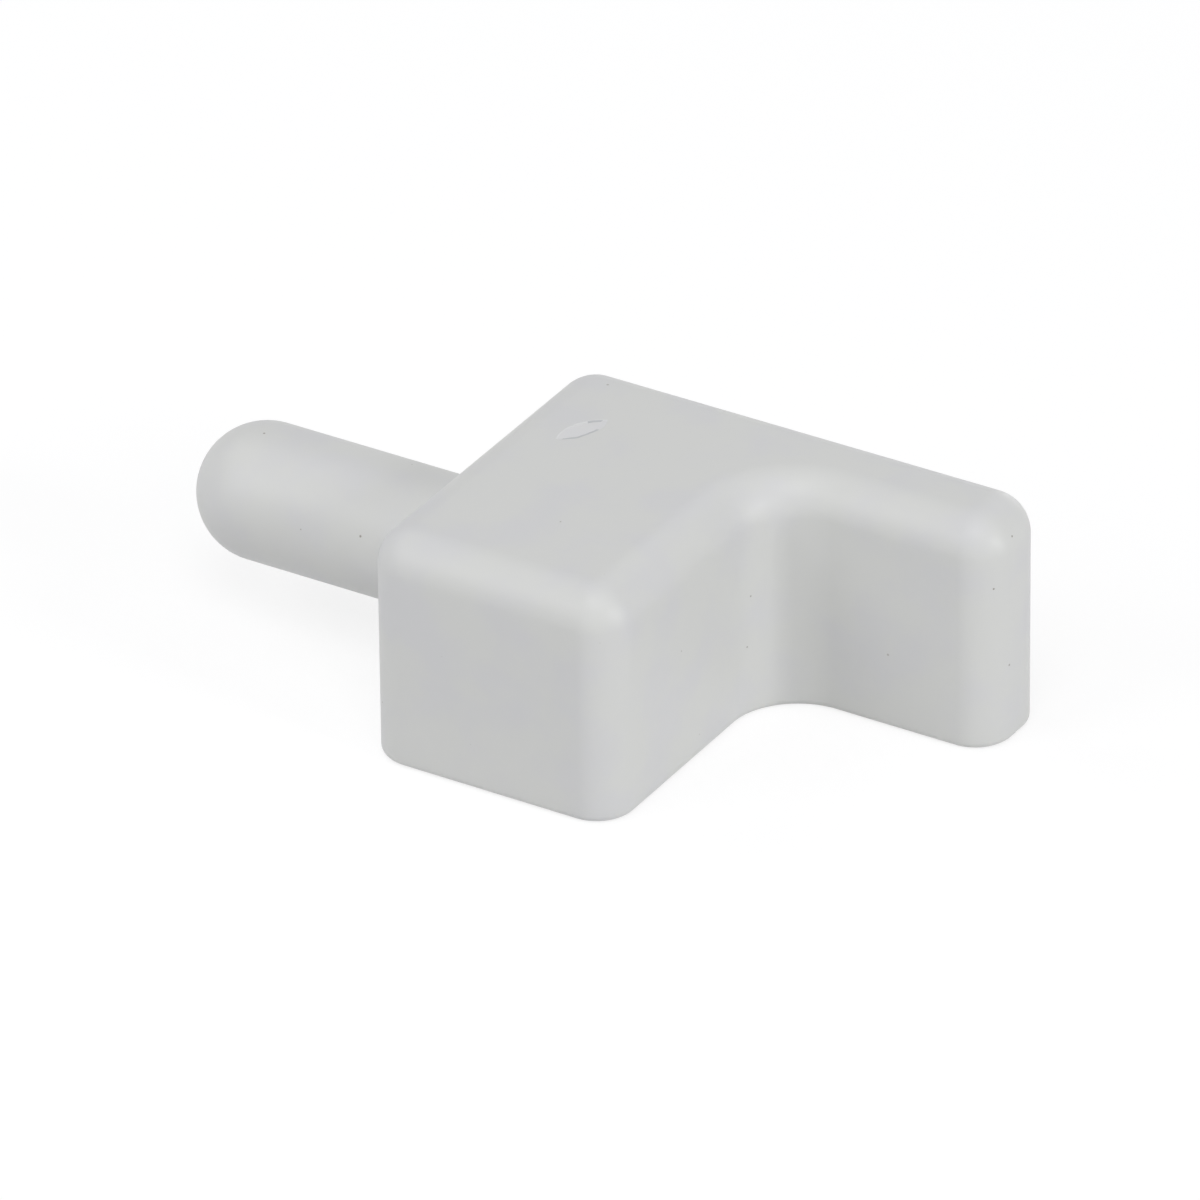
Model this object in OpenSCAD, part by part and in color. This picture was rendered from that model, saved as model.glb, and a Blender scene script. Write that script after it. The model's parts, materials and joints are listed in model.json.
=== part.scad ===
// Hinge pin with an L-shaped head, moulded in one piece.
// X runs along the pin: the round tip is at -X and the tab is at +X. Z is up.
// The origin is on the pin's axis, in the plane of the shoulder that the pin springs from.

/* [Pin] */
// Diameter of the pin
pin_d = 5; // [3:0.1:5.8]
// Length of the pin, from the shoulder to the end of its round tip
pin_len = 11; // [8:0.5:40]

/* [Head] */
// Length of the block, along the pin
block_len = 10; // [7:0.1:20]
// Width of the block, across the pin
block_w = 14.6; // [12:0.1:30]
// Height of the head
head_h = 9; // [8:0.1:16]
// How far the tab stands out past the block
tab_reach = 8.8; // [6:0.1:20]
// Thickness of the tab
tab_t = 3.8; // [3.3:0.1:6]

/* [Edges] */
// Radius of the upright outer edges and of the top edges
edge_r = 1.5; // [0.6:0.1:1.6]
// Radius of the hollow corner between the block and the tab
hollow_r = 2.5; // [1:0.1:4]
// Radius of the bottom edges
base_r = 0.3; // [0.1:0.05:0.5]

/* [Gate mark] */
// Length of the leaf-shaped mark that the mould's gate left in the top face
gate_len = 2; // [1.2:0.1:3]
// Width of the gate mark
gate_w = 0.8; // [0.5:0.1:1.1]
// Depth of the gate mark
gate_depth = 0.1; // [0.05:0.05:0.3]
// Distance from the shoulder to the middle of the gate mark, along the pin
gate_x = 2.9; // [2.5:0.1:4]
// Distance from the pin's axis to the middle of the gate mark, towards the tab's side
gate_y = 2.6; // [0:0.1:3]
// Angle between the gate mark and a line straight across the pin
gate_turn = 23; // [0:1:90]

/* [Hidden] */
$fn = 96;

plastic = [0.81, 0.82, 0.81];
pin_r = pin_d / 2;
bottom_z = -head_h / 2;
top_z = head_h / 2;
front_y = -block_w / 2;
back_y = block_w / 2;
tab_front_y = back_y - tab_t;
tab_end_x = block_len + tab_reach;

// The lines that the outer edges are rounded about, one edge radius inside each face
core_x0 = edge_r;
core_block_x1 = block_len - edge_r;
core_tab_x1 = tab_end_x - edge_r;
core_y0 = front_y + edge_r;
core_tab_y0 = tab_front_y + edge_r;
core_y1 = back_y - edge_r;

// The upright axis of the hollow corner, and where its rounding meets the core
hollow_x = block_len + hollow_r;
hollow_y = tab_front_y - hollow_r;
hollow_core_r = hollow_r + edge_r;

// How deep the pin's root is sunk in the head
pin_root = pin_r;
// Radius of the two arcs that bound the gate mark
gate_arc_r = (pow(gate_len, 2) + pow(gate_w, 2)) / (4 * gate_w);
// How far a cutter stands out past the face that it cuts
cut_past = 1;

// A quarter disc about the origin, in the quarter where x and y have the given signs.
module quarter_disc(r, x_sign, y_sign) {
    intersection() {
        circle(r);
        translate([x_sign < 0 ? -r : 0, y_sign < 0 ? -r : 0])
            square(r);
    }
}

// Section through the outer edge_r of a wall: x points outwards, y is the height above the bottom.
module wall_section() {
    translate([0, head_h - edge_r])
        quarter_disc(edge_r, 1, 1);
    translate([0, base_r])
        square([edge_r, head_h - edge_r - base_r]);
    square([edge_r - base_r, base_r]);
    translate([edge_r - base_r, base_r])
        quarter_disc(base_r, 1, -1);
}

// A straight run of wall from a point of the core. Heading 0 runs along +Y and faces +X.
module wall(start, heading, run) {
    translate([start.x, start.y, bottom_z])
        rotate([0, 0, heading])
            translate([0, run, 0])
                rotate([90, 0, 0])
                    linear_extrude(run)
                        wall_section();
}

// The rounded outer corner that leads into a run of wall with the given heading.
module outer_corner(centre, heading) {
    translate([centre.x, centre.y, bottom_z])
        rotate([0, 0, heading - 90])
            rotate_extrude(angle = 90)
                wall_section();
}

// The hollow corner, where the wall turns the other way.
module hollow_corner() {
    translate([hollow_x, hollow_y, bottom_z])
        rotate([0, 0, 90])
            rotate_extrude(angle = 90)
                translate([hollow_core_r, 0])
                    mirror([1, 0])
                        wall_section();
}

// What lies inside the walls, over the full height.
module core() {
    translate([0, 0, bottom_z])
        linear_extrude(head_h)
            difference() {
                polygon([
                    [core_x0, core_y0],
                    [core_block_x1, core_y0],
                    [core_block_x1, hollow_y],
                    [hollow_x, hollow_y],
                    [hollow_x, core_tab_y0],
                    [core_tab_x1, core_tab_y0],
                    [core_tab_x1, core_y1],
                    [core_x0, core_y1]
                ]);
                translate([hollow_x, hollow_y])
                    quarter_disc(hollow_core_r, -1, 1);
            }
}

// The L-shaped head, counter-clockwise round its walls from the front of the shoulder.
module head() {
    core();
    outer_corner([core_x0, core_y0], -90);
    wall([core_x0, core_y0], -90, core_block_x1 - core_x0);
    outer_corner([core_block_x1, core_y0], 0);
    wall([core_block_x1, core_y0], 0, hollow_y - core_y0);
    hollow_corner();
    wall([hollow_x, core_tab_y0], -90, core_tab_x1 - hollow_x);
    outer_corner([core_tab_x1, core_tab_y0], 0);
    wall([core_tab_x1, core_tab_y0], 0, core_y1 - core_tab_y0);
    outer_corner([core_tab_x1, core_y1], 90);
    wall([core_tab_x1, core_y1], 90, core_tab_x1 - core_x0);
    outer_corner([core_x0, core_y1], 180);
    wall([core_x0, core_y1], 180, core_y1 - core_y0);
}

// The pin with its half-round tip, sunk into the shoulder by its root.
module pin() {
    rotate([0, -90, 0])
        rotate_extrude() {
            translate([0, -pin_root])
                square([pin_r, pin_root + pin_len - pin_r]);
            translate([0, pin_len - pin_r])
                quarter_disc(pin_r, 1, 1);
        }
}

// Cutter for the gate mark: a shallow leaf, where two arcs cross.
module gate_mark() {
    translate([gate_x, gate_y, top_z - gate_depth])
        rotate([0, 0, -gate_turn])
            linear_extrude(gate_depth + cut_past)
                intersection() {
                    translate([gate_arc_r - gate_w / 2, 0])
                        circle(gate_arc_r);
                    translate([gate_w / 2 - gate_arc_r, 0])
                        circle(gate_arc_r);
                }
}

module hinge_pin() {
    color(plastic)
        difference() {
            union() {
                head();
                pin();
            }
            gate_mark();
        }
}

hinge_pin();
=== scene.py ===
"""A moulded hinge pin with an L-shaped head, lying on a pale floor in soft studio light."""

import json
import logging
import math
from dataclasses import dataclass, field
from enum import Enum
from typing import Any, Iterator

import bmesh
import bpy
from mathutils import Matrix, Vector, noise

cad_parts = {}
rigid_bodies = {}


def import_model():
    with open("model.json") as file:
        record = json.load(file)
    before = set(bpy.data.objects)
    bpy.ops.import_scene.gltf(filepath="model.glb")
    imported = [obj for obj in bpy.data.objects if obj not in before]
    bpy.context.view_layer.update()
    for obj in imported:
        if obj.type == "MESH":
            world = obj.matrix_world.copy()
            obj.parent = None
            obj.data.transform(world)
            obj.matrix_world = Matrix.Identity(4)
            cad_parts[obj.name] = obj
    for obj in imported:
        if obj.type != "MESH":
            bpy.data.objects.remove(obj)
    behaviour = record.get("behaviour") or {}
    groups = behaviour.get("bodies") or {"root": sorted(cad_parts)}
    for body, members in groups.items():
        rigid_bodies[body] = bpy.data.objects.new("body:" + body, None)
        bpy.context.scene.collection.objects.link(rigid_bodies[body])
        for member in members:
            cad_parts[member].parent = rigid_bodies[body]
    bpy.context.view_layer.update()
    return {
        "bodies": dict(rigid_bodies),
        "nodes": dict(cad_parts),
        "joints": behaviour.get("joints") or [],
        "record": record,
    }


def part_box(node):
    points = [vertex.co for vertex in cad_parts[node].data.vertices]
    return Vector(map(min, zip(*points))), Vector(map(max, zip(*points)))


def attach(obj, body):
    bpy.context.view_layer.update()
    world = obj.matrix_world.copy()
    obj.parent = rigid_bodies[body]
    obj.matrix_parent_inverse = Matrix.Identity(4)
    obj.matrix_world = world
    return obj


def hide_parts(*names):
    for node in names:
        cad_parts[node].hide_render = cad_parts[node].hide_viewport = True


LOG = logging.getLogger("hinge_pin")
MM = 0.001
CAD_NODE = "hinge_pin"
BODY = "root"
WHITE = (1.0, 1.0, 1.0, 1.0)
Pair = tuple[float, float]
Triple = tuple[float, float, float]


class Turn(Enum):
    """Which way a section's first curve bends, seen from inside the material."""

    ROUNDED = -1.0
    HOLLOW = 1.0


# ---------------------------------------------------------------------------------------------
# Node trees
# ---------------------------------------------------------------------------------------------


class Tree:
    """A node tree under construction, with short calls for its nodes."""

    def __init__(self, tree: bpy.types.NodeTree) -> None:
        """Wraps a tree that already exists.

        Args:
            tree: the geometry or shader tree to build in.
        """
        self.tree = tree

    def put(self, kind: str, inputs: dict[Any, Any] | None = None, **settings: Any) -> bpy.types.Node:
        """Adds one node.

        Args:
            kind: Blender's type name of the node.
            inputs: values or output sockets, keyed by the input's name or index.
            settings: the node's own properties.

        Returns:
            The new node.
        """
        node = self.tree.nodes.new(kind)
        for name, value in settings.items():
            setattr(node, name, value)
        for key, value in (inputs or {}).items():
            if isinstance(value, bpy.types.NodeSocket):
                self.tree.links.new(value, node.inputs[key])
            else:
                node.inputs[key].default_value = value
        return node

    def math(self, operation: str, a: Any, b: Any = 0.0, c: Any = 0.0) -> bpy.types.NodeSocket:
        """Adds a Math node.

        Args:
            operation: Blender's name of the operation.
            a: the first value or socket.
            b: the second, where the operation takes it.
            c: the third, where the operation takes it.

        Returns:
            The socket of the result.
        """
        return self.put("ShaderNodeMath", {0: a, 1: b, 2: c}, operation=operation).outputs[0]

    @classmethod
    def emptied(cls, owner: bpy.types.Material | bpy.types.World) -> "Tree":
        """Clears the nodes of a material or world.

        Args:
            owner: what the nodes belong to.

        Returns:
            Its tree, ready to build in.
        """
        owner.use_nodes = True
        owner.node_tree.nodes.clear()
        return cls(owner.node_tree)


# ---------------------------------------------------------------------------------------------
# Shapes
# ---------------------------------------------------------------------------------------------


@dataclass(frozen=True)
class PlanPoint:
    """A point of the line that a section follows, and the way out of the material there."""

    place: Pair
    outward: Pair


@dataclass(frozen=True)
class Section:
    """Half of a moulded wall or shaft: a first curve, a straight run and a last rounding.

    The reach is the distance from the plan line to the surface of the straight run.
    """

    reach: float
    height: float
    first_radius: float
    first_turn: Turn
    last_radius: float
    first_steps: int
    run_steps: int
    last_steps: int


class SectionSweep:
    """The geometry node tree that carries a section along a plan line."""

    NAME = "section_along_plan"
    OUTWARD = "outward"
    MERGE_DISTANCE = 0.0005 * MM

    def __init__(self) -> None:
        """Builds the tree once."""
        self.tree = bpy.data.node_groups.new(self.NAME, "GeometryNodeTree")
        self._sockets()
        self._nodes()

    def _sockets(self) -> None:
        """Makes the tree's named inputs and its output."""
        face = self.tree.interface
        face.new_socket("Plan", in_out="INPUT", socket_type="NodeSocketGeometry")
        for name in ("Reach", "Height", "First radius", "First turn", "Last radius"):
            face.new_socket(name, in_out="INPUT", socket_type="NodeSocketFloat")
        for name in ("First steps", "Run steps", "Last steps"):
            face.new_socket(name, in_out="INPUT", socket_type="NodeSocketInt")
        face.new_socket("Merge distance", in_out="INPUT", socket_type="NodeSocketFloat")
        face.new_socket("Finish", in_out="INPUT", socket_type="NodeSocketMaterial")
        face.new_socket("Wall", in_out="OUTPUT", socket_type="NodeSocketGeometry")

    def _nodes(self) -> None:
        """Lays a grid of columns by rows, and puts each of its points on the wall."""
        t = Tree(self.tree)
        given = t.put("NodeGroupInput").outputs
        plan = t.put("GeometryNodeAttributeDomainSize", {"Geometry": given["Plan"]}).outputs
        count = plan["Point Count"]
        later_steps = t.math("ADD", given["Run steps"], given["Last steps"])
        rows = t.math("ADD", t.math("ADD", given["First steps"], later_steps), 1.0)
        size = {"Vertices X": t.math("ADD", count, 1.0), "Vertices Y": rows}
        grid = t.put("GeometryNodeMeshGrid", size).outputs["Mesh"]
        index = t.put("GeometryNodeInputIndex").outputs[0]
        column = t.math("FLOORED_MODULO", t.math("FLOOR", t.math("DIVIDE", index, rows)), count)
        row = t.math("FLOORED_MODULO", index, rows)
        reach, height = self._section(t, given, row)
        place = self._sample(t, given["Plan"], t.put("GeometryNodeInputPosition").outputs[0], column)
        name = {"Name": self.OUTWARD}
        outward = t.put("GeometryNodeInputNamedAttribute", name, data_type="FLOAT_VECTOR").outputs
        way = self._sample(t, given["Plan"], outward["Attribute"], column)
        out = t.put("ShaderNodeVectorMath", {0: way, "Scale": reach}, operation="SCALE").outputs[0]
        level = t.put("ShaderNodeCombineXYZ", {"Z": height}).outputs[0]
        flat = t.put("ShaderNodeVectorMath", {0: place, 1: out}, operation="ADD").outputs[0]
        spot = t.put("ShaderNodeVectorMath", {0: flat, 1: level}, operation="ADD").outputs[0]
        wall = t.put("GeometryNodeSetPosition", {"Geometry": grid, "Position": spot}).outputs[0]
        seam = {"Geometry": wall, "Distance": given["Merge distance"]}
        joined = t.put("GeometryNodeMergeByDistance", seam).outputs[0]
        smooth = t.put("GeometryNodeSetShadeSmooth", {"Geometry": joined, "Shade Smooth": True})
        real = t.put("GeometryNodeRealizeInstances", {"Geometry": smooth.outputs[0]}).outputs[0]
        dressed = t.put("GeometryNodeSetMaterial", {"Geometry": real, "Material": given["Finish"]})
        t.put("NodeGroupOutput", {"Wall": dressed.outputs[0]})

    @staticmethod
    def _section(t: Tree, given: Any, row: bpy.types.NodeSocket) -> tuple[Any, Any]:
        """Works out the section at a row.

        Args:
            t: the tree under construction.
            given: the group's inputs.
            row: the row's number, counted from the bottom.

        Returns:
            The sockets of the reach from the plan line and of the height above the bottom.
        """
        quarter = math.pi / 2
        first = t.put("ShaderNodeClamp", {0: t.math("DIVIDE", row, given["First steps"])}).outputs[0]
        above = t.math("SUBTRACT", row, given["First steps"])
        run = t.put("ShaderNodeClamp", {0: t.math("DIVIDE", above, given["Run steps"])}).outputs[0]
        over = t.math("SUBTRACT", above, given["Run steps"])
        last = t.put("ShaderNodeClamp", {0: t.math("DIVIDE", over, given["Last steps"])}).outputs[0]
        first_angle = t.math("MULTIPLY", t.math("SUBTRACT", 1.0, first), quarter)
        last_angle = t.math("MULTIPLY", last, quarter)
        first_dip = t.math("SUBTRACT", 1.0, t.math("COSINE", first_angle))
        last_dip = t.math("SUBTRACT", 1.0, t.math("COSINE", last_angle))
        bend = t.math("MULTIPLY", given["First radius"], given["First turn"])
        reach = t.math("MULTIPLY_ADD", bend, first_dip, given["Reach"])
        reach = t.math("SUBTRACT", reach, t.math("MULTIPLY", given["Last radius"], last_dip))
        curved = t.math("ADD", given["First radius"], given["Last radius"])
        straight = t.math("SUBTRACT", given["Height"], curved)
        rise = t.math("SUBTRACT", 1.0, t.math("SINE", first_angle))
        height = t.math("MULTIPLY_ADD", straight, run, t.math("MULTIPLY", given["First radius"], rise))
        height = t.math("MULTIPLY_ADD", given["Last radius"], t.math("SINE", last_angle), height)
        return reach, height

    @staticmethod
    def _sample(t: Tree, geometry: Any, value: Any, index: Any) -> bpy.types.NodeSocket:
        """Reads a vector of the plan line at a column.

        Args:
            t: the tree under construction.
            geometry: the socket of the plan line.
            value: the vector to read.
            index: the column's number.

        Returns:
            The socket of the vector.
        """
        return t.put(
            "GeometryNodeSampleIndex",
            {"Geometry": geometry, "Value": value, "Index": index},
            data_type="FLOAT_VECTOR",
            domain="POINT",
        ).outputs[0]

    def carry(
        self, name: str, plan: list[PlanPoint], section: Section, finish: bpy.types.Material
    ) -> bpy.types.Mesh:
        """Carries a section along a closed plan line.

        Args:
            name: the name of the new mesh.
            plan: the points of the line, counter-clockwise seen from +Z.
            section: what stands on the line.
            finish: the material of the wall.

        Returns:
            The wall as a plain mesh, open at its ends.
        """
        line = bpy.data.meshes.new(name + "_plan")
        line.from_pydata([(*p.place, 0.0) for p in plan], [], [])
        ways = line.attributes.new(self.OUTWARD, "FLOAT_VECTOR", "POINT")
        ways.data.foreach_set("vector", [c for p in plan for c in (*p.outward, 0.0)])
        holder = bpy.data.objects.new(name + "_holder", line)
        bpy.context.scene.collection.objects.link(holder)
        modifier = holder.modifiers.new("sweep", "NODES")
        modifier.node_group = self.tree
        values = {
            "Reach": section.reach,
            "Height": section.height,
            "First radius": section.first_radius,
            "First turn": section.first_turn.value,
            "Last radius": section.last_radius,
            "First steps": section.first_steps,
            "Run steps": section.run_steps,
            "Last steps": section.last_steps,
            "Merge distance": self.MERGE_DISTANCE,
            "Finish": finish,
        }
        keys = {item.name: item.identifier for item in self.tree.interface.items_tree}
        for key, value in values.items():
            modifier[keys[key]] = value
        mesh = plain_mesh(holder, name)
        mesh.materials.pop(index=0)
        bpy.data.objects.remove(holder)
        bpy.data.meshes.remove(line)
        return mesh


def plain_mesh(obj: bpy.types.Object, name: str) -> bpy.types.Mesh:
    """Turns an object with its modifiers into a plain mesh of its own.

    Args:
        obj: the object, which stays as it is.
        name: the name of the new mesh.

    Returns:
        The new mesh.
    """
    bpy.context.view_layer.update()
    graph = bpy.context.evaluated_depsgraph_get()
    mesh = bpy.data.meshes.new_from_object(obj.evaluated_get(graph), depsgraph=graph)
    mesh.name = name
    return mesh


def bearing(angle_deg: float) -> Pair:
    """Gives a unit vector in the plan.

    Args:
        angle_deg: its angle, counter-clockwise from +X.

    Returns:
        The vector's X and Y.
    """
    angle = math.radians(angle_deg)
    return math.cos(angle), math.sin(angle)


def bend(
    centre: Pair, radius: float, way_deg: Pair, steps: int, inwards: bool = False
) -> Iterator[PlanPoint]:
    """Makes the points of a bend in a plan line.

    Args:
        centre: the middle of the bend.
        radius: the radius of the line there, which is 0 at a corner that the wall is rounded about.
        way_deg: the first and last angle, seen from the centre.
        steps: how many steps the bend takes.
        inwards: whether the way out of the material points to the centre.

    Yields:
        The points, both ends included.
    """
    sign = -1.0 if inwards else 1.0
    for step in range(steps + 1):
        x, y = bearing(way_deg[0] + (way_deg[1] - way_deg[0]) * step / steps)
        yield PlanPoint((centre[0] + radius * x, centre[1] + radius * y), (sign * x, sign * y))


def straight(start: Pair, end: Pair, way_deg: float, pitch: float) -> Iterator[PlanPoint]:
    """Makes the points between the ends of a straight stretch of a plan line.

    Args:
        start: where the stretch starts.
        end: where it ends.
        way_deg: the angle of the way out of the material.
        pitch: about how far apart the points are.

    Yields:
        The points, both ends left out.
    """
    steps = max(1, round(math.dist(start, end) / pitch))
    for step in range(1, steps):
        share = step / steps
        place = tuple(a + (b - a) * share for a, b in zip(start, end))
        yield PlanPoint(place, bearing(way_deg))


@dataclass(frozen=True)
class Sizes:
    """The part's sizes in metres, in the part's own frame."""

    low: Vector
    high: Vector
    pin_radius: float
    block_length: float = 10.0 * MM
    tab_thickness: float = 3.8 * MM
    edge_radius: float = 1.5 * MM
    hollow_radius: float = 2.5 * MM
    base_radius: float = 0.3 * MM

    @classmethod
    def from_frame(cls, frame: dict[str, Any]) -> "Sizes":
        """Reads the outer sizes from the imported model, and the pin's radius from its mount.

        Args:
            frame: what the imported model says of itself.

        Returns:
            The sizes.
        """
        low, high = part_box(CAD_NODE)
        pin = next(m for m in frame["record"]["mounts"] if m["name"] == "pin")
        return cls(low=low, high=high, pin_radius=pin["dims"]["r_mm"] * MM)

    @property
    def head_height(self) -> float:
        """Height of the head."""
        return self.high.z - self.low.z

    @property
    def pin_length(self) -> float:
        """Length of the pin, from the shoulder to the end of its tip."""
        return -self.low.x


@dataclass
class Head:
    """The L-shaped head: a wall section carried round the plan, closed above and below."""

    sizes: Sizes
    finish: bpy.types.Material
    corner_steps: int = 24
    hollow_steps: int = 36
    base_steps: int = 6
    pitch: float = 0.5 * MM

    def plan(self) -> list[PlanPoint]:
        """Lays out the line that the outer edges are rounded about.

        Returns:
            The line's points, counter-clockwise from the front of the shoulder.
        """
        s = self.sizes
        r = s.edge_radius
        tab_front = s.high.y - s.tab_thickness
        front_left = (r, s.low.y + r)
        front_right = (s.block_length - r, s.low.y + r)
        hollow = (s.block_length + s.hollow_radius, tab_front - s.hollow_radius)
        hollow_start = (s.block_length - r, hollow[1])
        hollow_end = (hollow[0], tab_front + r)
        tab_front_end = (s.high.x - r, tab_front + r)
        tab_back_end = (s.high.x - r, s.high.y - r)
        back_left = (r, s.high.y - r)
        steps = self.corner_steps
        return [
            *bend(front_left, 0.0, (180, 270), steps),
            *straight(front_left, front_right, 270, self.pitch),
            *bend(front_right, 0.0, (270, 360), steps),
            *straight(front_right, hollow_start, 0, self.pitch),
            *bend(hollow, s.hollow_radius + r, (180, 90), self.hollow_steps, inwards=True),
            *straight(hollow_end, tab_front_end, 270, self.pitch),
            *bend(tab_front_end, 0.0, (270, 360), steps),
            *straight(tab_front_end, tab_back_end, 0, self.pitch),
            *bend(tab_back_end, 0.0, (0, 90), steps),
            *straight(tab_back_end, back_left, 90, self.pitch),
            *bend(back_left, 0.0, (90, 180), steps),
            *straight(back_left, front_left, 180, self.pitch),
        ]

    def section(self) -> Section:
        """Works out the wall's section.

        Returns:
            The section, from its nearly sharp bottom edge to its rounded top edge.
        """
        s = self.sizes
        run = s.head_height - s.base_radius - s.edge_radius
        return Section(
            reach=s.edge_radius,
            height=s.head_height,
            first_radius=s.base_radius,
            first_turn=Turn.ROUNDED,
            last_radius=s.edge_radius,
            first_steps=self.base_steps,
            run_steps=round(run / self.pitch),
            last_steps=self.corner_steps,
        )

    def build(self, sweep: SectionSweep) -> bpy.types.Object:
        """Makes the closed head in its place.

        Args:
            sweep: the tree that carries sections.

        Returns:
            The head's object.
        """
        mesh = sweep.carry("head", self.plan(), self.section(), self.finish)
        mesh.transform(Matrix.Translation((0.0, 0.0, self.sizes.low.z)))
        close_ends(mesh)
        return add_object("head", mesh)


@dataclass
class Pin:
    """The round pin: a section carried round its axis, with a small root radius and a half-round tip."""

    sizes: Sizes
    finish: bpy.types.Material
    turn_steps: int = 128
    tip_steps: int = 32
    root_steps: int = 6
    root_radius: float = 0.2 * MM
    root_dip: float = 0.004 * MM
    sunk: float = 0.8 * MM
    pitch: float = 0.4 * MM

    def build(self, sweep: SectionSweep) -> bpy.types.Object:
        """Makes the closed pin in its place, with its root sunk in the head.

        Args:
            sweep: the tree that carries sections.

        Returns:
            The pin's object.
        """
        s = self.sizes
        plan = list(bend((0.0, 0.0), 0.0, (0, 360), self.turn_steps))[:-1]
        length = s.pin_length + self.root_dip
        run = length - self.root_radius - s.pin_radius
        section = Section(
            reach=s.pin_radius,
            height=length,
            first_radius=self.root_radius,
            first_turn=Turn.HOLLOW,
            last_radius=s.pin_radius,
            first_steps=self.root_steps,
            run_steps=round(run / self.pitch),
            last_steps=self.tip_steps,
        )
        mesh = sweep.carry("pin", plan, section, self.finish)
        self._sink_root(mesh)
        close_ends(mesh)
        dip = Matrix.Translation((0.0, 0.0, -self.root_dip))
        mesh.transform(Matrix.Rotation(math.radians(-90), 4, "Y") @ dip)
        return add_object("pin", mesh)

    def _sink_root(self, mesh: bpy.types.Mesh) -> None:
        """Draws the open root out, as far as it is sunk in the head.

        Args:
            mesh: the pin's mesh, which is changed.
        """
        shape = bmesh.new()
        shape.from_mesh(mesh)
        rim = [e for e in shape.edges if e.is_boundary]
        drawn = bmesh.ops.extrude_edge_only(shape, edges=rim)["geom"]
        moved = [v for v in drawn if isinstance(v, bmesh.types.BMVert)]
        bmesh.ops.translate(shape, verts=moved, vec=(0.0, 0.0, -self.sunk))
        finish_shape(shape, mesh)


@dataclass
class GateMark:
    """The shallow leaf that the mould's gate left in the top face, with a tear along two of its rims.

    The tear starts at the leaf's lower end on the side at its own +X, and at the other end on the
    other side. It stops at the place along each side that tear_ends gives, from -1 to 1. The leaf's
    floor has a lighter finish, a painted highlight, and the faces in the tear's groove a darker one,
    painted shade for the shadow that falls in the narrow groove.
    """

    # Rows whose faces, where the tear is deep enough, take the darker finish: painted shade in the
    # groove.
    PAINTED_SHADE_ROWS = (1, 2)

    sizes: Sizes
    # The floor's finish is lighter than the skin: a painted highlight on the smooth floor.
    finish: bpy.types.Material
    # The darker finish for the tear's groove is painted shade, for the shadow that falls in it.
    torn: bpy.types.Material
    centre: Pair = (2.9 * MM, 2.6 * MM)
    length: float = 2.2 * MM
    width: float = 0.84 * MM
    bulge: float = 2.6
    depth: float = 0.014 * MM
    slope: float = 0.05 * MM
    tear_depth: float = 0.01 * MM
    tear_width: float = 0.10 * MM
    tear_ends: Pair = (0.55, -0.3)
    tear_fade: float = 0.4
    tip_fade: float = 1 / 6
    tear_share: float = 0.4
    turn_deg: float = 23.0
    steps: int = 36
    raggedness: float = 0.05 * MM
    rag_size: float = 0.3 * MM
    above: float = 0.1 * MM

    def ring(self, grow: float) -> list[tuple[float, float, float]]:
        """Gives the leaf between its two rims, a little ragged as a torn gate is.

        Args:
            grow: how far the ring lies outside the leaf.

        Returns:
            The points in the leaf's own frame, counter-clockwise, each with its share of the tear.
        """
        half, wide = self.length / 2 + grow, self.width / 2 + grow
        points = []
        for side, tear_end in zip((1.0, -1.0), self.tear_ends):
            for step in range(self.steps):
                along = 2 * step / self.steps - 1
                out = 1 - abs(along) ** self.bulge
                x = side * wide * out
                y = side * half * along
                rough = noise.noise(Vector((x, y, 0.0)) / self.rag_size) * self.raggedness
                torn = min(1.0, max(0.0, (tear_end - along) / self.tear_fade))
                share = torn * min(1.0, (1 - abs(along)) / self.tip_fade)
                points.append((x + side * rough * out, y, share))
        return points

    def build(self) -> bpy.types.Object:
        """Makes the cutter for the mark, in its place.

        Returns:
            The cutter; its first finish is the mark's floor, lighter as a painted highlight, and its
            second the tear's, darker as painted shade in its groove.
        """
        top = self.sizes.high.z
        # How far outside the leaf, how high over the top face, and how much of the tear's depth
        levels = [
            (self.slope + self.above, self.above, 0.0),
            (0.0, -0.4 * self.depth, 0.0),
            (-0.3 * self.tear_width, -0.7 * self.depth, 1.0),
            (-1.3 * self.tear_width, -self.depth, 1.0),
            (-2.0 * self.tear_width, -self.depth, 0.0),
        ]
        shape = bmesh.new()
        rings = []
        for grow, high, torn in levels:
            drop = torn * self.tear_depth
            spots = [(x, y, top + high - drop * share) for x, y, share in self.ring(grow)]
            rings.append([shape.verts.new(spot) for spot in spots])
        shares = [share for _, _, share in self.ring(0.0)]
        for row, (upper, lower) in enumerate(zip(rings, rings[1:])):
            for i, share in enumerate(shares):
                j = (i + 1) % len(upper)
                face = shape.faces.new((upper[i], lower[i], lower[j], upper[j]))
                # Faces in the tear's groove take the darker finish, painted shade for its shadow.
                face.material_index = int(row in self.PAINTED_SHADE_ROWS and share > self.tear_share)
        shape.faces.new(rings[0])
        shape.faces.new(reversed(rings[-1]))
        turn = Matrix.Rotation(math.radians(-self.turn_deg), 4, "Z")
        place = Matrix.Translation((*self.centre, 0.0)) @ turn
        bmesh.ops.transform(shape, matrix=place, verts=shape.verts)
        mesh = bpy.data.meshes.new("gate_mark")
        finish_shape(shape, mesh)
        # First finish: the floor's lighter one, a painted highlight.
        mesh.materials.append(self.finish)
        # Second finish: the tear's darker one, painted shade in the groove.
        mesh.materials.append(self.torn)
        return add_object("gate_mark", mesh)


def close_ends(mesh: bpy.types.Mesh) -> None:
    """Closes each open end of a mesh with one flat face.

    Args:
        mesh: the mesh, which is changed.
    """
    shape = bmesh.new()
    shape.from_mesh(mesh)
    bmesh.ops.holes_fill(shape, edges=[e for e in shape.edges if e.is_boundary], sides=0)
    finish_shape(shape, mesh)


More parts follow.
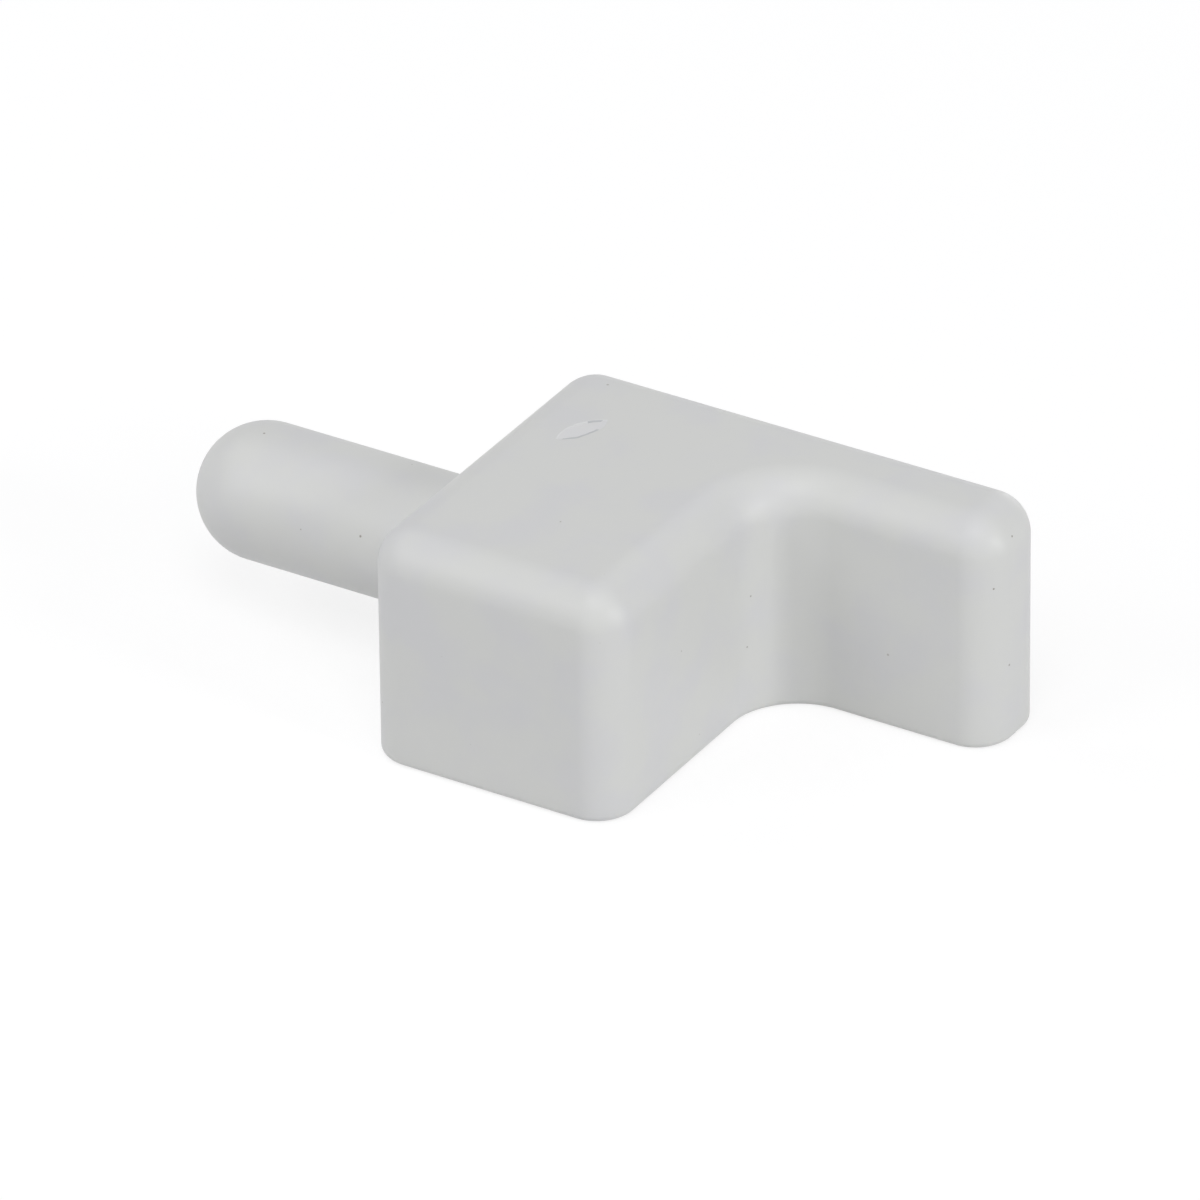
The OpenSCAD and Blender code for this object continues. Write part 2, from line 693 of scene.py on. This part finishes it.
def finish_shape(shape: bmesh.types.BMesh, mesh: bpy.types.Mesh) -> None:
    """Turns the faces of a closed shape outwards, smooths them and writes them to a mesh.

    Args:
        shape: the shape, which is freed.
        mesh: the mesh that gets its faces.
    """
    bmesh.ops.recalc_face_normals(shape, faces=shape.faces)
    for face in shape.faces:
        face.smooth = True
    shape.to_mesh(mesh)
    shape.free()


def add_object(name: str, mesh: bpy.types.Mesh) -> bpy.types.Object:
    """Puts a mesh in the scene as an object of its own.

    Args:
        name: the object's name.
        mesh: its mesh.

    Returns:
        The new object, unturned at the origin.
    """
    obj = bpy.data.objects.new(name, mesh)
    bpy.context.scene.collection.objects.link(obj)
    return obj


@dataclass
class Moulding:
    """The whole one-piece part: head, pin and gate mark."""

    sizes: Sizes
    skin: bpy.types.Material
    # The mark floor's lighter finish, a painted highlight.
    scar: bpy.types.Material
    # The tear's darker finish, painted shade in the groove.
    torn: bpy.types.Material
    smooth_deg: float = 40.0
    flat_face_weight: int = 90
    name: str = "hinge_pin_moulding"

    def build(self) -> bpy.types.Object:
        """Joins the shapes into one closed mesh.

        Returns:
            The part's object.
        """
        sweep = SectionSweep()
        head = Head(self.sizes, self.skin).build(sweep)
        pin = Pin(self.sizes, self.skin).build(sweep)
        mark = GateMark(self.sizes, self.scar, self.torn).build()
        self._cut(head, pin, "UNION")
        self._cut(head, mark, "DIFFERENCE")
        mesh = plain_mesh(head, self.name)
        for used in (head, pin, mark):
            bpy.data.objects.remove(used)
        self._sharpen(mesh)
        part = add_object(self.name, mesh)
        weighted = part.modifiers.new("weighted_normal", "WEIGHTED_NORMAL")
        weighted.keep_sharp = True
        weighted.weight = self.flat_face_weight
        final = plain_mesh(part, self.name + "_mesh")
        part.modifiers.clear()
        part.data = final
        bpy.data.meshes.remove(mesh)
        return part

    def _sharpen(self, mesh: bpy.types.Mesh) -> None:
        """Marks the edges that are sharp: the steep ones, and those between two finishes.

        Args:
            mesh: the part's mesh, which is changed.
        """
        mesh.set_sharp_from_angle(angle=math.radians(self.smooth_deg))
        shape = bmesh.new()
        shape.from_mesh(mesh)
        for edge in shape.edges:
            if len({face.material_index for face in edge.link_faces}) > 1:
                edge.smooth = False
        shape.to_mesh(mesh)
        shape.free()

    @staticmethod
    def _cut(target: bpy.types.Object, tool: bpy.types.Object, operation: str) -> None:
        """Adds an exact Boolean, with the tool's own finish on the faces that it makes.

        Args:
            target: the object that is changed.
            tool: the object that is added to it or cut from it.
            operation: Blender's name of the operation.
        """
        modifier = target.modifiers.new(operation.lower(), "BOOLEAN")
        modifier.object = tool
        modifier.operation = operation
        modifier.solver = "EXACT"
        modifier.material_mode = "TRANSFER"


# ---------------------------------------------------------------------------------------------
# Finishes
# ---------------------------------------------------------------------------------------------


class SkinGroup:
    """The shader node group for a moulded skin: faint patches, rare specks and a fine, wavy grain."""

    NAME = "moulded_skin"
    SMALLEST_SPECK = 0.4
    FAINTEST_SPECK = 0.3
    SPECK_CORE = 0.5
    NOISE_MIDDLE = 0.5
    COLORS = ("Color", "Patch color", "Speck color")
    NUMBERS = (
        "Patch size",
        "Patch start",
        "Patch end",
        "Speck size",
        "Speck spacing",
        "Gloss",
        "Gloss change",
        "Grain size",
        "Grain",
        "Wave size",
        "Wave",
    )

    def __init__(self) -> None:
        """Builds the group once."""
        self.tree = bpy.data.node_groups.new(self.NAME, "ShaderNodeTree")
        face = self.tree.interface
        for name in self.COLORS:
            face.new_socket(name, in_out="INPUT", socket_type="NodeSocketColor")
        for name in self.NUMBERS:
            face.new_socket(name, in_out="INPUT", socket_type="NodeSocketFloat")
        face.new_socket("Color", in_out="OUTPUT", socket_type="NodeSocketColor")
        face.new_socket("Roughness", in_out="OUTPUT", socket_type="NodeSocketFloat")
        face.new_socket("Height", in_out="OUTPUT", socket_type="NodeSocketFloat")
        self._nodes()

    def _nodes(self) -> None:
        """Builds the colour, roughness and height from the place on the part."""
        t = Tree(self.tree)
        given = t.put("NodeGroupInput").outputs
        place = t.put("ShaderNodeTexCoord").outputs["Object"]
        cloud = self._noise(t, place, given["Patch size"], 4.0)
        patch = self._ramp(t, cloud, given["Patch start"], given["Patch end"])
        patched = self._mix(t, patch, given["Color"], given["Patch color"])
        color = self._mix(t, self._specks(t, place, given), patched, given["Speck color"])
        change = t.math("SUBTRACT", cloud, self.NOISE_MIDDLE)
        rough = t.math("MULTIPLY_ADD", change, given["Gloss change"], given["Gloss"])
        grain = t.math("MULTIPLY", self._noise(t, place, given["Grain size"], 2.0), given["Grain"])
        wave = t.math("MULTIPLY", self._noise(t, place, given["Wave size"], 1.0), given["Wave"])
        height = t.math("ADD", grain, wave)
        t.put("NodeGroupOutput", {"Color": color, "Roughness": rough, "Height": height})

    def _specks(self, t: Tree, place: Any, given: Any) -> bpy.types.NodeSocket:
        """Makes small round specks, each with a size and a strength of its own.

        Args:
            t: the tree under construction.
            place: the socket of the place on the part.
            given: the group's inputs.

        Returns:
            The socket of the specks' mask.
        """
        per_metre = t.math("DIVIDE", 1.0, given["Speck spacing"])
        cells = t.put("ShaderNodeTexVoronoi", {"Vector": place, "Scale": per_metre}).outputs
        chance = t.put("ShaderNodeSeparateColor", {0: cells["Color"]}).outputs
        widest = t.math("MULTIPLY", given["Speck size"], per_metre)
        small, faint = self.SMALLEST_SPECK, self.FAINTEST_SPECK
        reach = t.math("MULTIPLY", widest, t.math("MULTIPLY_ADD", chance["Red"], 1 - small, small))
        near = self._ramp(t, cells["Distance"], reach, t.math("MULTIPLY", reach, self.SPECK_CORE))
        return t.math("MULTIPLY", near, t.math("MULTIPLY_ADD", chance["Green"], 1 - faint, faint))

    @staticmethod
    def _noise(t: Tree, place: Any, size: Any, detail: float) -> bpy.types.NodeSocket:
        """Adds a noise.

        Args:
            t: the tree under construction.
            place: the socket of the place on the part.
            size: about how wide its patches are.
            detail: how many finer layers it has.

        Returns:
            The socket of its value, which is 0.5 on average.
        """
        inputs = {"Vector": place, "Scale": t.math("DIVIDE", 1.0, size), "Detail": detail}
        return t.put("ShaderNodeTexNoise", inputs).outputs[0]

    @staticmethod
    def _ramp(t: Tree, value: Any, start: Any, end: Any) -> bpy.types.NodeSocket:
        """Adds a smooth rise from 0 to 1.

        Args:
            t: the tree under construction.
            value: the socket that it follows.
            start: the value at which it is 0.
            end: the value at which it is 1.

        Returns:
            The socket of the result.
        """
        inputs = {"Value": value, "From Min": start, "From Max": end}
        return t.put("ShaderNodeMapRange", inputs, interpolation_type="SMOOTHSTEP").outputs[0]

    @staticmethod
    def _mix(t: Tree, share: Any, first: Any, second: Any) -> bpy.types.NodeSocket:
        """Mixes two colours."""
        return t.put("ShaderNodeMix", {0: share, 6: first, 7: second}, data_type="RGBA").outputs[2]


@dataclass(frozen=True)
class Plastic:
    """A finish of the moulded plastic. Lengths are in metres."""

    name: str
    color: Triple
    patch_color: Triple
    roughness: float
    speck_color: Triple = (0.27, 0.25, 0.22)
    patch_size: float = 2.6 * MM
    patch_start: float = 0.40
    patch_end: float = 0.66
    speck_size: float = 0.062 * MM
    speck_spacing: float = 1.05 * MM
    roughness_change: float = 0.10
    grain_size: float = 0.12 * MM
    grain: float = 0.0004 * MM
    wave_size: float = 2.5 * MM
    wave: float = 0.006 * MM
    ior: float = 1.5
    specular: float = 0.4

    def build(self, skin: SkinGroup) -> bpy.types.Material:
        """Makes the material around the shared skin group.

        Args:
            skin: the group.

        Returns:
            The new material.
        """
        material = bpy.data.materials.new(self.name)
        t = Tree.emptied(material)
        values = {
            "Color": (*self.color, 1.0),
            "Patch color": (*self.patch_color, 1.0),
            "Speck color": (*self.speck_color, 1.0),
            "Patch size": self.patch_size,
            "Patch start": self.patch_start,
            "Patch end": self.patch_end,
            "Speck size": self.speck_size,
            "Speck spacing": self.speck_spacing,
            "Gloss": self.roughness,
            "Gloss change": self.roughness_change,
            "Grain size": self.grain_size,
            "Grain": self.grain,
            "Wave size": self.wave_size,
            "Wave": self.wave,
        }
        group = t.put("ShaderNodeGroup", node_tree=skin.tree)
        for key, value in values.items():
            group.inputs[key].default_value = value
        relief = {"Height": group.outputs["Height"], "Distance": 1.0, "Strength": 1.0}
        bump = t.put("ShaderNodeBump", relief)
        surface = t.put(
            "ShaderNodeBsdfPrincipled",
            {
                "Base Color": group.outputs["Color"],
                "Roughness": group.outputs["Roughness"],
                "Normal": bump.outputs[0],
                "IOR": self.ior,
                "Specular IOR Level": self.specular,
            },
        )
        t.put("ShaderNodeOutputMaterial", {"Surface": surface.outputs[0]})
        return material


# ---------------------------------------------------------------------------------------------
# Studio
# ---------------------------------------------------------------------------------------------


@dataclass(frozen=True)
class SoftBox:
    """A soft rectangular lamp that faces the part. Azimuth 0 stands at -Y and 90 at +X."""

    name: str
    azimuth_deg: float
    elevation_deg: float
    width: float
    height: float
    watts: float
    distance: float = 0.6

    def build(self, aim: Vector) -> None:
        """Makes the lamp and turns it.

        Args:
            aim: the point that the lamp faces.
        """
        lamp = bpy.data.lights.new(self.name, "AREA")
        lamp.shape = "RECTANGLE"
        lamp.size, lamp.size_y = self.width, self.height
        lamp.energy = self.watts
        obj = bpy.data.objects.new(self.name, lamp)
        bpy.context.scene.collection.objects.link(obj)
        away = sky_direction(self.azimuth_deg, self.elevation_deg)
        obj.location = aim + away * self.distance
        obj.rotation_mode = "QUATERNION"
        obj.rotation_quaternion = away.to_track_quat("Z", "Y")


def sky_direction(azimuth_deg: float, elevation_deg: float) -> Vector:
    """Gives the unit vector towards a place in the sky.

    Args:
        azimuth_deg: its azimuth, which is 0 at -Y and 90 at +X.
        elevation_deg: its height above the horizon.

    Returns:
        The vector.
    """
    a, e = math.radians(azimuth_deg), math.radians(elevation_deg)
    return Vector((math.sin(a) * math.cos(e), -math.cos(a) * math.cos(e), math.sin(e)))


@dataclass(frozen=True)
class Camera:
    """A long-lens camera that looks down at the part from the front right."""

    aim: Triple = (4.0 * MM, -0.3 * MM, 0.0)
    azimuth_deg: float = 31.54
    elevation_deg: float = 30.57
    roll_deg: float = -0.67
    distance: float = 517.0 * MM
    right_shift: float = 1.139 * MM
    up_shift: float = -0.491 * MM
    sensor_mm: float = 36.0
    lens_mm: float = 446.8
    clip: Pair = (0.01, 10.0)

    def build(self) -> None:
        """Makes the scene's camera."""
        back = sky_direction(self.azimuth_deg, self.elevation_deg)
        level = back.to_track_quat("Z", "Y").to_matrix()
        turned = level @ Matrix.Rotation(math.radians(self.roll_deg), 3, "Z")
        right, up = turned.col[0], turned.col[1]
        data = bpy.data.cameras.new("camera")
        data.sensor_width = self.sensor_mm
        data.lens = self.lens_mm
        data.clip_start, data.clip_end = self.clip
        obj = bpy.data.objects.new("camera", data)
        bpy.context.scene.collection.objects.link(obj)
        aim = Vector(self.aim) + right * self.right_shift + up * self.up_shift
        obj.location = aim + back * self.distance
        obj.rotation_mode = "QUATERNION"
        obj.rotation_quaternion = turned.to_quaternion()
        bpy.context.scene.camera = obj


@dataclass
class Studio:
    """The pale floor, the white surroundings, the soft lamps and the camera."""

    under_part: float
    gap: float = 0.01 * MM
    ambient: float = 0.28
    ambient_color: Triple = (0.985, 0.99, 1.035)
    floor_size: float = 3.0
    floor_color: float = 0.8
    shadow_share: float = 0.25
    backdrop_glow: float = 0.78
    lamp_aim: Triple = (4.0 * MM, 0.0, 0.0)
    lamps: list[SoftBox] = field(
        default_factory=lambda: [
            # Name, azimuth, elevation, width, height and watts
            SoftBox("key_light", 30.0, 60.0, 0.30, 0.30, 1.08),
            SoftBox("top_light", 0.0, 88.0, 0.35, 0.35, 0.12),
            SoftBox("right_light", 84.0, 24.0, 0.11, 0.11, 0.76),
            SoftBox("left_light", -32.0, 35.0, 0.30, 0.30, 0.77),
            SoftBox("rear_left_light", 270.0, 45.0, 0.35, 0.35, 0.55),
            SoftBox("back_light", 180.0, 45.0, 0.35, 0.35, 0.15),
            SoftBox("low_front_light", 0.0, 10.0, 0.20, 0.15, 0.15),
            SoftBox("low_right_light", 96.0, 5.0, 0.045, 0.08, 0.60),
            SoftBox("low_back_light", 186.0, 5.0, 0.25, 0.15, 0.42),
        ]
    )

    def build(self) -> None:
        """Builds the whole studio."""
        self._world()
        self._floor()
        for lamp in self.lamps:
            lamp.build(Vector(self.lamp_aim))
        Camera().build()
        bpy.context.scene.view_settings.view_transform = "Standard"

    def _seen(self, t: Tree) -> bpy.types.NodeSocket:
        """Tells the rays that show the surroundings from those that carry light.

        Args:
            t: the tree under construction.

        Returns:
            A socket that is 1 for the first kind and 0 for the second.
        """
        path = t.put("ShaderNodeLightPath").outputs
        either = t.math("MAXIMUM", path["Is Camera Ray"], path["Is Glossy Ray"])
        return t.math("MAXIMUM", either, path["Is Transmission Ray"])

    def _world(self) -> None:
        """Makes white surroundings that give an even, fainter light."""
        world = bpy.data.worlds.new("surroundings")
        t = Tree.emptied(world)
        soft = {"Color": (*self.ambient_color, 1.0), "Strength": self.ambient}
        light = t.put("ShaderNodeBackground", soft).outputs[0]
        white = t.put("ShaderNodeBackground", {"Color": WHITE, "Strength": 1.0}).outputs[0]
        mixed = t.put("ShaderNodeMixShader", {0: self._seen(t), 1: light, 2: white})
        t.put("ShaderNodeOutputWorld", {"Surface": mixed.outputs[0]})
        bpy.context.scene.world = world

    def _floor(self) -> None:
        """Makes the floor, which shows white and keeps the part's shadow."""
        material = bpy.data.materials.new("floor")
        t = Tree.emptied(material)
        pale = (self.floor_color,) * 3 + (1.0,)
        shaded = (self.shadow_share,) * 3 + (1.0,)
        plain = t.put("ShaderNodeBsdfDiffuse", {"Color": pale}).outputs[0]
        shadow = t.put("ShaderNodeBsdfDiffuse", {"Color": shaded}).outputs[0]
        glow = t.put("ShaderNodeEmission", {"Color": WHITE, "Strength": self.backdrop_glow}).outputs[0]
        shown = t.put("ShaderNodeAddShader", {0: shadow, 1: glow}).outputs[0]
        mixed = t.put("ShaderNodeMixShader", {0: self._seen(t), 1: plain, 2: shown})
        t.put("ShaderNodeOutputMaterial", {"Surface": mixed.outputs[0]})
        half = self.floor_size / 2
        mesh = bpy.data.meshes.new("floor")
        level = self.under_part - self.gap
        corners = [(x * half, y * half, level) for x, y in ((-1, -1), (1, -1), (1, 1), (-1, 1))]
        mesh.from_pydata(corners, [], [(0, 1, 2, 3)])
        mesh.materials.append(material)
        add_object("floor", mesh)


def main() -> None:
    """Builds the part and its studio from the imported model's frame."""
    logging.basicConfig(level=logging.INFO, format="%(name)s: %(message)s")
    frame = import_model()
    sizes = Sizes.from_frame(frame)
    skin = SkinGroup()
    satin = Plastic("satin_plastic", (0.628, 0.633, 0.617), (0.615, 0.618, 0.621), 0.46).build(skin)
    # The mark floor's finish is lighter and a little bluer than the skin: a painted highlight on its
    # smooth floor.
    scar = Plastic("gate_scar_painted_highlight", (0.650, 0.652, 0.662), (0.665, 0.667, 0.664), 0.42).build(skin)
    # The tear's darker finish is painted shade for the shadow in its narrow groove.
    torn = Plastic("gate_tear_painted_shade", (0.50, 0.51, 0.52), (0.48, 0.49, 0.50), 0.5).build(skin)
    part = Moulding(sizes, satin, scar, torn).build()
    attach(part, BODY)
    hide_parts(CAD_NODE)
    LOG.info("%s: %d faces", part.name, len(part.data.polygons))
    Studio(under_part=sizes.low.z).build()


if __name__ == "__main__":
    main()
